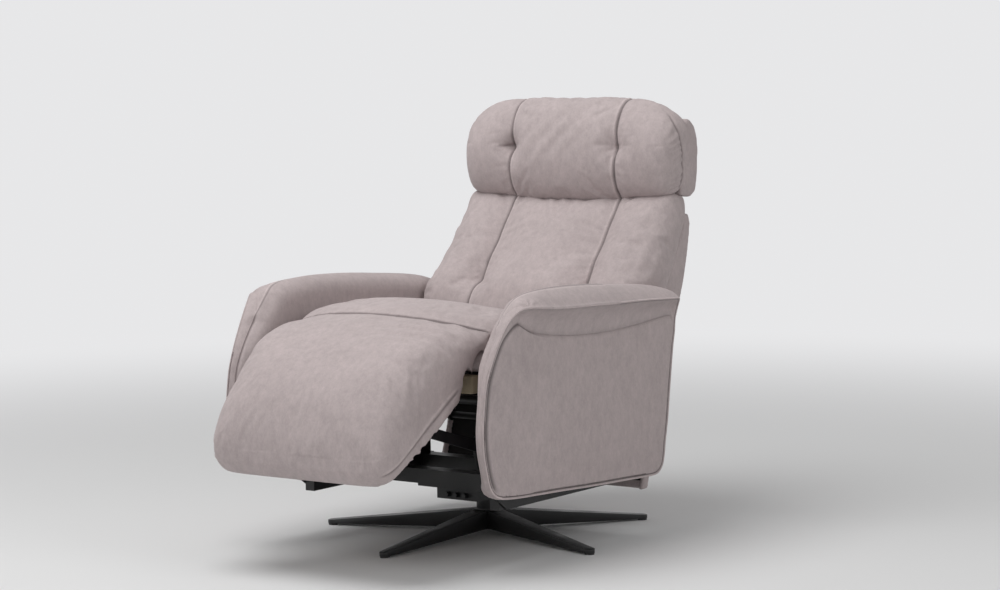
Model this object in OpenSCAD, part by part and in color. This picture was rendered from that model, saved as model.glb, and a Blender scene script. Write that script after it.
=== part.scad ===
// Star base swivel recliner, drawn in the half-open position.
// The chair faces -Y, +X is the sitter's left, and the origin is on the floor under the swivel axis.

/* [Star base] */
// Distance from the swivel axis to the end of a star arm
star_r = 400; // [320:5:450]
// Number of star arms
arm_count = 5; // [4:1:6]
// Height of an arm where it meets the hub
arm_root_h = 44; // [34:1:50]
// Height of an arm at its end
arm_tip_h = 8; // [6:1:12]
// Width of an arm where it meets the hub
arm_root_w = 44; // [34:1:48]
// Width of an arm at its end
arm_tip_w = 24; // [20:1:32]
// Thickness of the glide under each arm end
glide_h = 4; // [3:0.5:8]
// Radius of the column tube
column_r = 25; // [23:0.5:32]
// Height of the column top above the floor
column_top = 112; // [100:1:150]
// Radius of the swivel spindle
spindle_r = 15; // [11:0.5:17]

/* [Chassis] */
// Side of the square swivel plate
plate_side = 230; // [180:5:260]
// Thickness of the swivel plate
plate_t = 6; // [4:0.5:10]
// Height of the cross channels and side rails
rail_h = 34; // [28:1:44]
// Width of a cross channel
channel_w = 40; // [30:1:50]
// Half of the distance between the inner faces of the side rails
rail_x = 250; // [250:1:262]
// Thickness of the pressed steel plates
steel_t = 6; // [4:0.5:6]

/* [Side panels] */
// Gap between the seat cushion and the side panel
panel_gap = 26; // [20:1:40]
// Thickness of a padded side panel
panel_w = 52; // [44:1:70]
// Length of a side panel from front to back
panel_len = 760; // [700:5:800]
// Height of a side panel from its lower edge to the arm pad
panel_h = 360; // [330:5:400]
// Height of the panel's lower edge above the floor
panel_z = 140; // [136:1:170]
// Distance that the arm pad flares out past the panel
arm_flare = 38; // [20:1:50]
// Height of the arm pad above the panel
arm_h = 104; // [80:1:120]

/* [Seat] */
// Half width of the seat cushion
seat_w = 282; // [276:1:296]
// Thickness of the seat cushion at the front
seat_t = 132; // [110:1:150]
// Height of the seat frame's tubes above the floor
seat_z = 395; // [390:1:410]
// Width and height of the seat frame's square tube
tube = 25; // [20:1:28]

/* [Legrest] */
// Half width of the legrest pad
leg_w = 255; // [235:1:262]
// Thickness of the legrest board
board_t = 18; // [12:1:20]
// Length of the legrest board
board_len = 224; // [200:1:230]

/* [Backrest] */
// Distance from the back frame's side tube to the side of the backrest
back_side = 41; // [30:1:43]
// Thickness of the backrest's rear shell
shell_t = 10; // [6:1:12]

/* [Headrest] */
// Half width of the headrest
head_w = 305; // [290:1:320]
// Height of the headrest pad
head_h = 222; // [200:1:240]

/* [Hidden] */
$fn = 48;

// Clearances, overruns and shared small sizes
run_clear = 0.05;
face_gap = 0.3;
cut = 1;
layer_gap = 2;
pin_r = 6;
knuckle_r = 12;

// Base
hub_lift = 10;
hub_top = hub_lift + arm_root_h + layer_gap;
spigot_r = column_r * 0.64;
glide_r = arm_tip_w * 0.46;
bolt_r = 5;
washer_t = 2;
plate_z = column_top + washer_t + face_gap;
frame_z = plate_z + plate_t;
rail_top = frame_z + rail_h;

// Seat, from front to rear
seat_front = -395;
seat_rear = 82;
wood_t = 25;
leg_reach = 60;

// Pivots in the side view, as [y, z]
seat_pivot = [100, 330];
back_pivot = [150, 360];
link_pivot = [135, 360];
back_lug = [170, 240];
leg_pivot = [seat_front - leg_reach, 420];
crank_pivot = [-170, 335];
leg_motor_pivot = [30, 330];
recline_motor_pivot = [-120, 230];

// The legrest's own directions: along the board, and square to it towards the floor
board_angle = 35.5;
leg_along = [-cos(board_angle), -sin(board_angle)];
leg_down = [sin(board_angle), -cos(board_angle)];
function leg_at(t, n) = leg_pivot + t * leg_along + n * leg_down;
pad_back = 16;
board_top = pad_back + layer_gap;
leg_arm_depth = board_top + board_t + knuckle_r;
lug_along = 90;
lug_down = 75;
leg_lug = leg_at(lug_along, lug_down);
leg_lug_pin_r = 5;
crank_r = 120;
crank_angle = 10;
crank_pin = crank_pivot - crank_r * [sin(crank_angle), cos(crank_angle)];
lever_r = 60;
torque_r = 11;
lever_angle = 50;
lever_pin = crank_pivot - lever_r * [sin(lever_angle), cos(lever_angle)];

// Layers of the linkage across the chair: the inner face of each plate
upright_x = rail_x - steel_t;
seat_plate_x = upright_x - face_gap * 10 - steel_t - cut;
back_plate_x = seat_plate_x - layer_gap - steel_t;
crank_x = back_plate_x - steel_t;
push_x = crank_x - face_gap * 10 - steel_t - cut;
leg_arm_x = push_x - face_gap * 10 - steel_t - cut;
leg_bracket_x = leg_arm_x - face_gap * 10 - steel_t - cut;
link_x = rail_x + steel_t;
side_plate_x = rail_x + tube;
panel_in = seat_w + panel_gap;
back_w = back_plate_x + steel_t + tube + back_side;

// Smaller sizes of the chassis, springs, drives and shells
rail_front = -330;
rail_rear = 125;
channel_y = plate_side / 2 - channel_w / 2;
upright_y = channel_y - pin_r;
motor_x = 70;
clevis_w = 12;
side_plate_t = 4;
board_gap = 22;
core_t = 16;
foot_h = 6;
panel_skin = 12;
facing_w = 18;
journal_r = 8;
spring_t = 3;
spring_count = 5;
spring_turns = 14;
lever_x = -60;
lever_gap = 8;
lug_play = 2.8;
motor_r = 17;
ram_r = 6;
ram_tube_r = 12;
eye_w = 14;
lever_play = 12;
bar_play = 6.5;
leg_ram_len = 160;
recline_ram_len = 190;
link_play = 1.5;
leg_arm_end = 200;
board_start = 38;
notch_r = 30;
back_h = 302;
head_depth = 158;
head_wall = 8;
pad_edge = 26;
panel_front = -500;

// A point list scaled by a size and moved to a place
function placed(shares, place, size) =
    [for (p = shares) [place[0] + p[0] * size[0], place[1] + p[1] * size[1]]];
// One step of a closed smooth curve through a, b, c and d, from b towards c
function curve(a, b, c, d, t) = 0.5 * (2 * b + (c - a) * t + (2 * a - 5 * b + 4 * c - d) * t * t
    + (3 * b - a - 3 * c + d) * t * t * t);
// A closed smooth outline through the points, with n steps between them
function smooth(p, n) = let (m = len(p)) [for (i = [0:m - 1]) for (k = [0:n - 1])
    curve(p[(i + m - 1) % m], p[i], p[(i + 1) % m], p[(i + 2) % m], k / n)];

// A side-view outline [y, z] given thickness along X from x0
module side_slab(points, x0, w) {
    translate([x0, 0, 0]) rotate([90, 0, 90]) linear_extrude(height = w) polygon(points);
}
module side_shape(x0, w) {
    translate([x0, 0, 0]) rotate([90, 0, 90]) linear_extrude(height = w) children();
}
// A flat bar with round ends between two side-view points, its sides a hair inside the ends
waist_share = 0.99;
module bar(a, b, r) {
    d = b - a;
    translate(a) circle(r);
    translate(b) circle(r);
    translate(a) rotate(atan2(d[1], d[0])) translate([0, -r * waist_share])
        square([norm(d), 2 * r * waist_share]);
}
// A round bar along X between x0 and x1 at a side-view point
module rod_x(p, r, x0, x1) {
    translate([x0, p[0], p[1]]) rotate([0, 90, 0]) cylinder(r = r, h = x1 - x0);
}
module pair() {
    children();
    mirror([1, 0, 0]) children();
}
// A closed skin over rings of points, each ring at its own place along the part
module loft(rings) {
    n = len(rings);
    m = len(rings[0]);
    polyhedron(points = [for (r = rings) each r],
        faces = concat([[for (j = [0:m - 1]) j]], [[for (j = [m - 1:-1:0]) (n - 1) * m + j]],
            [for (i = [0:n - 2]) for (j = [0:m - 1]) each
                [[i * m + j, (i + 1) * m + j, i * m + (j + 1) % m],
                [i * m + (j + 1) % m, (i + 1) * m + j, (i + 1) * m + (j + 1) % m]]]));
}

// Star base
function tip_top() = glide_h + arm_tip_h;
module star_arm() {
    intersection() {
        rotate([90, 0, 0]) translate([0, 0, -arm_root_w]) linear_extrude(height = 2 * arm_root_w)
            polygon([[0, hub_lift + layer_gap], [0, hub_top - layer_gap],
                [column_r * 0.8, hub_top - layer_gap], [star_r + cut, tip_top()],
                [star_r + cut, glide_h], [star_r - 2 * arm_tip_w, glide_h]]);
        linear_extrude(height = 2 * hub_top) union() {
            translate([star_r - arm_tip_w / 2, 0]) circle(arm_tip_w / 2);
            polygon([[0, -arm_root_w / 2], [star_r - arm_tip_w / 2, -arm_tip_w * 0.49],
                [star_r - arm_tip_w / 2, arm_tip_w * 0.49], [0, arm_root_w / 2]]);
        }
    }
}
module star_base() {
    color("#1c1c1e") difference() {
        union() {
            translate([0, 0, hub_lift]) cylinder(r = column_r, h = hub_top - hub_lift);
            for (i = [0:arm_count - 1]) rotate(-90 + i * 360 / arm_count) star_arm();
        }
        translate([0, 0, -cut]) cylinder(r = spigot_r, h = hub_top + 2 * cut);
    }
}
module base_glides() {
    color("#141414") for (i = [0:arm_count - 1]) rotate(-90 + i * 360 / arm_count)
        translate([star_r - arm_tip_w / 2, 0, 0]) cylinder(r = glide_r, h = glide_h);
}
module column() {
    color("#1c1c1e") difference() {
        union() {
            translate([0, 0, hub_top]) cylinder(r = column_r, h = column_top - hub_top);
            translate([0, 0, hub_lift + plate_t]) cylinder(r = spigot_r - run_clear, h = hub_top - hub_lift);
        }
        translate([0, 0, hub_top + plate_t]) cylinder(r = column_r - steel_t, h = column_top);
        cylinder(r = bolt_r, h = hub_top);
    }
}
module column_bush() {
    color("#e8e4da") translate([0, 0, hub_top + plate_t]) difference() {
        cylinder(r = column_r - steel_t - run_clear, h = column_top - hub_top - plate_t);
        translate([0, 0, -cut]) cylinder(r = spindle_r + run_clear, h = column_top);
    }
}
module thrust_washer() {
    color("#d8d4cc") translate([0, 0, column_top]) difference() {
        cylinder(r = column_r - steel_t / 2, h = washer_t);
        translate([0, 0, -cut]) cylinder(r = spindle_r + run_clear * 2, h = washer_t + 2 * cut);
    }
}
module hub_bolt() {
    color("#9a9a9e") {
        translate([0, 0, hub_lift]) cylinder(r = spigot_r - run_clear * 2, h = plate_t);
        translate([0, 0, hub_lift + plate_t]) cylinder(r = bolt_r - run_clear / 2, h = hub_top / 2);
    }
}

// Chassis that turns on the column
module swivel_spindle() {
    color("#8c8c90") {
        translate([0, 0, hub_top + 2 * plate_t]) cylinder(r = spindle_r, h = frame_z - hub_top - 2 * plate_t);
        translate([0, 0, frame_z]) cylinder(r = spindle_r * 1.6, h = plate_t);
    }
}
module swivel_plate() {
    color("#1c1c1e") difference() {
        translate([-plate_side / 2, -plate_side / 2, plate_z]) cube([plate_side, plate_side, plate_t]);
        translate([0, 0, plate_z - cut]) cylinder(r = spindle_r + run_clear, h = plate_t + 2 * cut);
    }
}
module chassis_frame() {
    color("#1c1c1e") difference() {
        union() {
            for (s = [-1, 1]) translate([-rail_x, s * channel_y - channel_w / 2, frame_z])
                cube([2 * rail_x, channel_w, rail_h]);
            pair() {
                translate([rail_x, rail_front, frame_z]) cube([tube, rail_rear - rail_front, rail_h]);
                side_shape(upright_x, steel_t) {
                    bar([upright_y, frame_z + rail_h / 2], [upright_y, seat_pivot[1] - tube],
                        1.33 * knuckle_r);
                    bar([upright_y, seat_pivot[1] - tube], seat_pivot, 1.42 * knuckle_r);
                    bar(seat_pivot, link_pivot, knuckle_r);
                }
            }
            for (s = [-1, 1]) side_shape(motor_x + s * clevis_w - steel_t / 2, steel_t)
                bar([-channel_y, frame_z + rail_h / 2], recline_motor_pivot, knuckle_r);
        }
        for (x = [-rail_x, upright_x]) rod_x(seat_pivot, pin_r, x - cut, x + tube);
        for (x = [-rail_x, upright_x]) rod_x(link_pivot, pin_r, x - cut, x + tube);
        rod_x(recline_motor_pivot, pin_r, motor_x - tube, motor_x + tube);
    }
}
panel_bolt_at = [[-280, 205], [-70, 205], [90, 205]];
module side_plate() {
    color("#1c1c1e") difference() {
        side_slab([[rail_front - tube, frame_z + rail_h], [rail_front + tube, frame_z], [rail_rear, frame_z],
            [rail_rear - tube, seat_pivot[1]], [seat_pivot[0] - 4 * tube, seat_pivot[1]],
            [crank_pivot[0], seat_pivot[1] - 2 * tube], [rail_front, seat_pivot[1] - 3 * tube]],
            side_plate_x, side_plate_t);
        for (p = panel_bolt_at) rod_x(p, bolt_r + run_clear, side_plate_x - cut, side_plate_x + tube);
    }
}
module side_plate_left() side_plate();
module side_plate_right() mirror([1, 0, 0]) side_plate();
module chassis_pins() {
    color("#8c8c90") {
        pair() {
            rod_x(seat_pivot, pin_r - run_clear / 2, seat_plate_x - layer_gap, rail_x);
            rod_x(link_pivot, pin_r - run_clear / 2, upright_x, link_x + steel_t + layer_gap);
        }
        rod_x(recline_motor_pivot, pin_r - run_clear / 2, motor_x - 2 * clevis_w, motor_x + 2 * clevis_w);
    }
}
module panel_spacers() {
    color("#2a2a2c") pair() for (p = panel_bolt_at) difference() {
        rod_x(p, 2.6 * bolt_r, side_plate_x + side_plate_t, panel_in);
        rod_x(p, bolt_r + run_clear, side_plate_x, panel_in + cut);
    }
}
module panel_bolts() {
    color("#9a9a9e") pair() for (p = panel_bolt_at) {
        rod_x(p, bolt_r, side_plate_x, panel_in + board_gap + core_t - cut);
        rod_x(p, 1.8 * bolt_r, side_plate_x - bolt_r, side_plate_x);
    }
}
foot_shares = [[0.178, 0.0824], [0.796, 0.0058]];
module panel_feet() {
    color("#141414") pair() for (s = foot_shares)
        translate([panel_in + panel_w * 0.6, panel_front + s[0] * panel_len,
            panel_z + s[1] * panel_h - foot_h]) cylinder(r = knuckle_r, h = foot_h);
}
box_size = [118, 58, 24];
module control_box() {
    color("#111113") {
        translate([-box_size[0] / 2, -plate_side / 2, plate_z - box_size[2]]) cube(box_size);
        for (x = [-1, 0, 1]) rotate([90, 0, 0])
            translate([x * tube, plate_z - box_size[2] / 2, plate_side / 2])
                cylinder(r = pin_r, h = 2 * pin_r);
    }
}

// Side panels
panel_shares = [[0.08, 0.09], [0.035, 0.15], [0.012, 0.27], [0, 0.42], [0, 0.54], [0.01, 0.67], [0.03, 0.84],
    [0.06, 1], [1, 1], [0.985, 0.84], [0.95, 0.333], [0.928, 0.09], [0.912, 0.03], [0.888, 0],
    [0.69, 0.015], [0.49, 0.05], [0.23, 0.08]];
function panel_outline(m) = placed(panel_shares, [panel_front + m, panel_z + m],
    [panel_len - 2 * m, panel_h - 2 * m]);
module side_core(grow) {
    side_slab(placed(panel_shares, [panel_front + 2 * panel_skin - grow, panel_z + panel_skin - grow],
        [panel_len - 4 * panel_skin + 2 * grow, panel_h - 2 * panel_skin + 2 * grow]),
        panel_in + board_gap - grow, core_t + 2 * grow);
}
module side_board() {
    color("#b89468") difference() {
        side_core(0);
        for (p = panel_bolt_at) rod_x(p, bolt_r + run_clear / 2, panel_in, panel_in + panel_w);
    }
}
module side_board_left() side_board();
module side_board_right() mirror([1, 0, 0]) side_board();
module side_panel() {
    color("#b3a6a4") difference() {
        union() {
            side_slab(panel_outline(0), panel_in + board_gap - facing_w / 2,
                panel_w - board_gap + facing_w / 2);
            side_slab(placed(panel_shares, [panel_front + 3 * panel_skin, panel_z],
                [panel_len - 3 * panel_skin, panel_h]), panel_in, board_gap);
        }
        side_core(face_gap / 3);
        for (p = panel_bolt_at) rod_x(p, bolt_r + cut, panel_in - cut, panel_in + board_gap);
    }
}
module side_panel_left() side_panel();
module side_panel_right() mirror([1, 0, 0]) side_panel();
// Arm pad stations along the panel: place, ridge height, seam height and flare, as shares
arm_shares = [[0.072, 0.03, 0.02, 0.0], [0.085, 0.14, 0.08, 0.02], [0.105, 0.34, 0.28, 0.1],
    [0.135, 0.56, 0.46, 0.22], [0.165, 0.72, 0.6, 0.36], [0.19, 0.81, 0.66, 0.5], [0.22, 0.87, 0.67, 0.64],
    [0.27, 0.94, 0.66, 0.8], [0.33, 0.98, 0.64, 0.9], [0.4, 1, 0.62, 0.97], [0.5, 0.97, 0.59, 1],
    [0.6, 0.93, 0.57, 1], [0.7, 0.86, 0.55, 0.97], [0.8, 0.78, 0.52, 0.92], [0.9, 0.67, 0.48, 0.84],
    [0.97, 0.57, 0.44, 0.76], [1.035, 0.44, 0.36, 0.68]];
arm_pad_z = panel_z + panel_h;
function arm_ring(a) = let (y = panel_front + a[0] * panel_len, r = a[1] * arm_h, s = a[2] * arm_h,
    f = panel_in + panel_w + a[3] * arm_flare)
    [[panel_in, y, arm_pad_z], [panel_in + panel_w, y, arm_pad_z],
    [f - a[3] * arm_flare / 3, y, arm_pad_z + s * 0.6], [f, y, arm_pad_z + s],
    [f - panel_w * 0.12, y, arm_pad_z + s + (r - s) * 0.36],
    [f - panel_w * 0.36, y, arm_pad_z + s + (r - s) * 0.74], [f - panel_w * 0.75, y, arm_pad_z + r],
    [panel_in + panel_w * 0.3, y, arm_pad_z + r * 0.97],
    [panel_in + panel_w * 0.08, y, arm_pad_z + r * 0.86], [panel_in, y, arm_pad_z + r * 0.66]];
module arm_pad() {
    color("#b3a6a4") loft([for (a = arm_shares) arm_ring(a)]);
}
module arm_pad_left() arm_pad();
module arm_pad_right() mirror([1, 0, 0]) arm_pad();

// A crowned pad: one side-view outline lofted across the chair, drawn in towards both sides
pad_shares = [[-1, 1], [-0.97, 0.5], [-0.9, 0.16], [-0.6, 0], [0.6, 0], [0.9, 0.16], [0.97, 0.5], [1, 1]];
function middle(p) = [for (k = [0, 1]) (min([for (q = p) q[k]]) + max([for (q = p) q[k]])) / 2];
function drawn_in(p, e) = let (c = middle(p)) [for (q = p) q + (c - q) / norm(c - q) * e];
module pad(points, half) {
    outline = smooth(points, 2);
    loft([for (s = pad_shares) [for (q = drawn_in(outline, pad_edge * s[1])) [s[0] * half, q[0], q[1]]]]);
}

// Seat
module seat_frame() {
    color("#1c1c1e") difference() {
        union() {
            pair() {
                translate([seat_plate_x, seat_front + wood_t, seat_z])
                    cube([tube, seat_rear - seat_front - wood_t, tube]);
                side_shape(seat_plate_x, steel_t) {
                    bar(crank_pivot, [crank_pivot[0], seat_z], 1.7 * knuckle_r);
                    bar(leg_motor_pivot, [leg_motor_pivot[0], seat_z], 1.4 * knuckle_r);
                    bar(seat_pivot, [leg_motor_pivot[0] + knuckle_r, seat_z], 1.3 * knuckle_r);
                    bar(seat_pivot, back_pivot, 1.5 * knuckle_r);
                }
            }
            translate([-seat_plate_x, seat_rear - tube, seat_z]) cube([2 * seat_plate_x, tube, tube]);
        }
        for (x = [-rail_x, seat_plate_x]) {
            rod_x(seat_pivot, pin_r + run_clear, x - cut, x + tube);
            rod_x(back_pivot, pin_r, x - cut, x + tube);
            rod_x(crank_pivot, journal_r + run_clear, x - cut, x + tube);
        }
    }
}
module seat_pins() {
    color("#8c8c90") {
        pair() rod_x(back_pivot, pin_r - run_clear / 2, back_plate_x - layer_gap, seat_plate_x + steel_t);
        rod_x(leg_motor_pivot, journal_r, -seat_plate_x, seat_plate_x);
    }
}
module seat_front_rail() {
    color("#a39a84") translate([-seat_w + wood_t, seat_front, seat_z - knuckle_r])
        cube([2 * (seat_w - wood_t), wood_t, tube + knuckle_r + spring_t]);
}
function turn_side(i) = i % 2 == 0 ? -1 : 1;
module zigzag(length, width, t) {
    linear_extrude(height = t) polygon(concat(
        [for (i = [0:spring_turns]) [turn_side(i) * width / 2 - t / 2, length * i / spring_turns]],
        [for (i = [spring_turns:-1:0]) [turn_side(i) * width / 2 + t / 2, length * i / spring_turns]]));
}
module seat_springs() {
    color("#6b6b6e") for (i = [0:spring_count - 1])
        translate([(i - (spring_count - 1) / 2) * seat_plate_x * 2 / (spring_count + 0.6),
            seat_front + wood_t, seat_z + tube])
            zigzag(seat_rear - seat_front - wood_t, 2 * wood_t, spring_t);
}
seat_shares = [[0.1, 0], [0.015, 0.009], [-0.009, 0.066], [-0.021, 0.36], [-0.012, 0.6],
    [0.005, 0.81], [0.032, 1], [0.097, 1.07], [0.2, 1.065], [0.322, 1.035], [0.5, 0.93],
    [0.628, 0.845], [0.76, 0.75], [0.873, 0.67], [0.96, 0.61], [0.993, 0.55], [1, 0.3], [0.99, 0.04], [0.955, 0.009], [0.88, 0], [0.5, 0]];
module seat_cushion() {
    color("#b3a6a4") pad(placed(seat_shares, [seat_front - wood_t / 2, seat_z + tube + spring_t + face_gap],
        [seat_rear - seat_front + wood_t / 2, seat_t]), seat_w);
}
module legrest_brackets() {
    color("#1c1c1e") pair() difference() {
        union() {
            side_shape(leg_bracket_x, steel_t)
                bar(leg_pivot, [seat_front - steel_t, leg_pivot[1] - knuckle_r], knuckle_r * 0.9);
            translate([leg_bracket_x - 2 * knuckle_r, seat_front - steel_t / 2, seat_z - knuckle_r / 2])
                cube([2 * knuckle_r + steel_t, steel_t / 2, tube]);
            rod_x(leg_pivot, pin_r, leg_bracket_x, leg_arm_x + steel_t + layer_gap);
        }
        translate([leg_bracket_x - tube, seat_front, 0]) cube([2 * tube, 2 * tube, seat_z + 2 * tube]);
    }
}

// Legrest drive
module torque_tube() {
    color("#1c1c1e") {
        rod_x(crank_pivot, torque_r, -back_plate_x, back_plate_x);
        pair() {
            rod_x(crank_pivot, journal_r, back_plate_x, seat_plate_x + steel_t + cut);
            side_shape(crank_x, steel_t) bar(crank_pivot, crank_pin, knuckle_r + layer_gap);
            rod_x(crank_pin, leg_lug_pin_r, leg_arm_x + steel_t + layer_gap, crank_x + steel_t / 2);
        }
        for (s = [-1, 1]) side_shape(lever_x + s * (lever_gap + steel_t / 2) - steel_t / 2, steel_t)
            bar(crank_pivot, lever_pin, knuckle_r + layer_gap);
        rod_x(lever_pin, leg_lug_pin_r, lever_x - lever_gap - steel_t / 2, lever_x + lever_gap + steel_t / 2);
    }
}
module push_links() {
    color("#4a4a4e") pair() difference() {
        side_shape(push_x, steel_t) bar(crank_pin, leg_lug, knuckle_r);
        rod_x(crank_pin, leg_lug_pin_r + run_clear, push_x - cut, push_x + tube);
        rod_x(leg_lug, leg_lug_pin_r + lug_play, push_x - cut, push_x + tube);
    }
}
// Places a shape with its local Z from one side-view point towards another
module aimed(a, b, x) {
    translate([x, a[0], a[1]]) rotate([atan2(b[1] - a[1], b[0] - a[0]) - 90, 0, 0]) children();
}
// Linear drive: an eye on its pivot, a gearbox, a ram tube and a motor beside it
module ram_housing(a, b, x, length, eye_r, side) {
    color("#18181a") difference() {
        aimed(a, b, x) {
            rotate([0, 90, 0]) translate([0, 0, -eye_w / 2]) cylinder(r = eye_r + pin_r, h = eye_w);
            translate([-eye_w / 2, -ram_tube_r, 0]) cube([eye_w, 2 * ram_tube_r, 2 * tube]);
            translate([-ram_tube_r - face_gap, side > 0 ? -ram_tube_r : -ram_tube_r - 2 * motor_r, tube])
                cube([2 * ram_tube_r + 2 * face_gap, 2 * ram_tube_r + 2 * motor_r, 2 * ram_tube_r]);
            translate([0, 0, tube]) cylinder(r = ram_tube_r, h = length - tube);
            translate([0, side * (ram_tube_r + motor_r + layer_gap / 2), tube])
                cylinder(r = motor_r, h = length * 0.62);
        }
        aimed(a, b, x) {
            rotate([0, 90, 0]) translate([0, 0, -tube]) cylinder(r = eye_r + run_clear, h = 2 * tube);
            translate([0, 0, 2 * tube]) cylinder(r = ram_r + run_clear, h = length);
        }
    }
}
module ram_rod(a, b, x, start, eye_r, eye_hole) {
    reach = norm(b - a);
    color("#b8b8bc") difference() {
        aimed(a, b, x) {
            translate([0, 0, start]) cylinder(r = ram_r, h = reach - start - eye_r + pin_r / 2);
            translate([0, 0, reach]) rotate([0, 90, 0]) translate([0, 0, -eye_w / 2])
                cylinder(r = eye_r, h = eye_w);
        }
        rod_x(b, eye_hole, x - tube, x + tube);
    }
}
module leg_motor() ram_housing(leg_motor_pivot, lever_pin, lever_x, leg_ram_len, journal_r, 1);
module leg_motor_rod() ram_rod(leg_motor_pivot, lever_pin, lever_x, leg_ram_len * 0.62,
    leg_lug_pin_r + lever_play + pin_r, leg_lug_pin_r + lever_play);
module recline_motor() ram_housing(recline_motor_pivot, back_lug, motor_x, recline_ram_len, pin_r, -1);
module recline_motor_rod() ram_rod(recline_motor_pivot, back_lug, motor_x, recline_ram_len * 0.6,
    journal_r + bar_play + pin_r, journal_r + bar_play);
module recline_links() {
    color("#4a4a4e") pair() difference() {
        side_shape(link_x, steel_t) bar(link_pivot, back_lug, knuckle_r);
        rod_x(link_pivot, pin_r + run_clear, link_x - cut, link_x + tube);
        rod_x(back_lug, pin_r + link_play, link_x - cut, link_x + tube);
    }
}

// Legrest
module legrest_frame() {
    color("#1c1c1e") {
        pair() {
            difference() {
                side_shape(leg_arm_x, steel_t) {
                    bar(leg_pivot, leg_at(tube, leg_arm_depth), knuckle_r + cut);
                    bar(leg_at(tube, leg_arm_depth), leg_at(leg_arm_end, leg_arm_depth), knuckle_r);
                    bar(leg_at(lug_along, leg_arm_depth), leg_lug, knuckle_r - layer_gap);
                }
                rod_x(leg_pivot, pin_r + run_clear, leg_arm_x - cut, leg_arm_x + tube);
            }
            rod_x(leg_lug, leg_lug_pin_r, leg_arm_x + steel_t / 2, push_x + steel_t + layer_gap);
        }
        rod_x(leg_at(leg_arm_end, leg_arm_depth), knuckle_r * 0.7,
            -leg_arm_x - steel_t / 2, leg_arm_x + steel_t / 2);
    }
}
module legrest_board() {
    color("#b89468") side_slab([leg_at(board_start, board_top), leg_at(board_len, board_top),
        leg_at(board_len, board_top + board_t), leg_at(board_start, board_top + board_t)],
        -leg_w + tube, 2 * (leg_w - tube));
}
// Legrest pad outline in the legrest's own directions, as shares of the board length
legpad_shares = [[0.02, 0.05], [-0.067, -0.117], [-0.2, -0.31], [-0.273, -0.436], [-0.19, -0.455],
    [-0.089, -0.441], [0.119, -0.479], [0.298, -0.497], [0.525, -0.501], [0.703, -0.468], [0.859, -0.41],
    [1.01, -0.337], [1.152, -0.246], [1.251, -0.152], [1.318, -0.036], [1.345, 0.094], [1.31, 0.215],
    [1.2, 0.235], [1.1, 0.2], [1.07, 0.13], [1.04, 0.08], [0.94, 0.0785], [0.5, 0.0785], [0.15, 0.0785]];
module legrest_pad() {
    color("#b3a6a4") difference() {
        pad([for (s = legpad_shares) leg_at(s[0] * board_len, s[1] * board_len)], leg_w);
        pair() rod_x(leg_pivot, notch_r, leg_bracket_x - knuckle_r, push_x);
    }
}

// Backrest
back_tube_low = [275, 452];
back_tube_top = [402, 690];
head_pivot = [425, 742];
head_plate_x = 141;
cross_r = 10;
module back_frame() {
    color("#1c1c1e") difference() {
        union() {
            pair() {
                side_shape(back_plate_x, steel_t) {
                    bar(back_lug, back_pivot, 1.2 * knuckle_r);
                    bar(back_pivot, back_tube_low, tube / 2 - cut);
                }
                side_shape(back_plate_x + steel_t, tube) bar(back_tube_low, back_tube_top, tube / 2);
                rod_x(back_lug, pin_r, back_plate_x + steel_t / 2, link_x + steel_t + layer_gap);
            }
            rod_x(back_lug, journal_r, -back_plate_x - steel_t / 2, back_plate_x + steel_t / 2);
            for (p = [back_tube_low, back_tube_top])
                rod_x(p, cross_r, -back_plate_x - 1.5 * steel_t, back_plate_x + 1.5 * steel_t);
        }
        pair() rod_x(back_pivot, pin_r + run_clear, back_plate_x - cut, back_plate_x + tube);
    }
}
back_spring_shares = [0.2, 0.4, 0.6, 0.8];
module back_springs() {
    a = atan2(back_tube_top[1] - back_tube_low[1], back_tube_top[0] - back_tube_low[0]);
    color("#6b6b6e") for (s = back_spring_shares) {
        p = back_tube_low + s * (back_tube_top - back_tube_low)
            + (tube / 2 - 2 * spring_t) * [-sin(a), cos(a)];
        translate([0, p[0], p[1]]) rotate([a, 0, 0]) translate([back_plate_x + steel_t, 0, 0])
            rotate([0, 0, 90]) zigzag(2 * (back_plate_x + steel_t), wood_t, spring_t);
    }
}
back_pad_place = [122, 456];
back_pad_shares = [[0.02, 0], [0.07, 0.2], [0.12, 0.35], [0.25, 0.51], [0.42, 0.69], [0.54, 0.82],
    [0.67, 0.94], [0.8, 1.01], [0.89, 0.99], [0.905, 0.9], [0.885, 0.8], [0.675, 0.4], [0.468, 0.01],
    [0.34, -0.01], [0.15, -0.05]];
module back_pad() {
    color("#b3a6a4") pad(placed(back_pad_shares, back_pad_place, [back_h, back_h]), back_w);
}
shell_place = [230, 94];
shell_over = 44;
shell_behind = 28;
shell_size = back_tube_top + [shell_behind, shell_over] - shell_place;
shell_shares = [[0, 0], [0.26, 0.25], [0.46, 0.44], [0.64, 0.592], [0.72, 0.65], [0.84, 0.745],
    [0.92, 0.835], [0.97, 0.91], [0.99, 0.955], [0.95, 0.99]];
shell_side_shares = [[0.86, 0.985], [0.84, 0.94], [0.77, 0.9], [0.62, 0.82], [0.46, 0.725],
    [0.34, 0.64], [0.27, 0.565], [0.36, 0.54], [0.06, 0.17], [-0.12, 0]];
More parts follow.
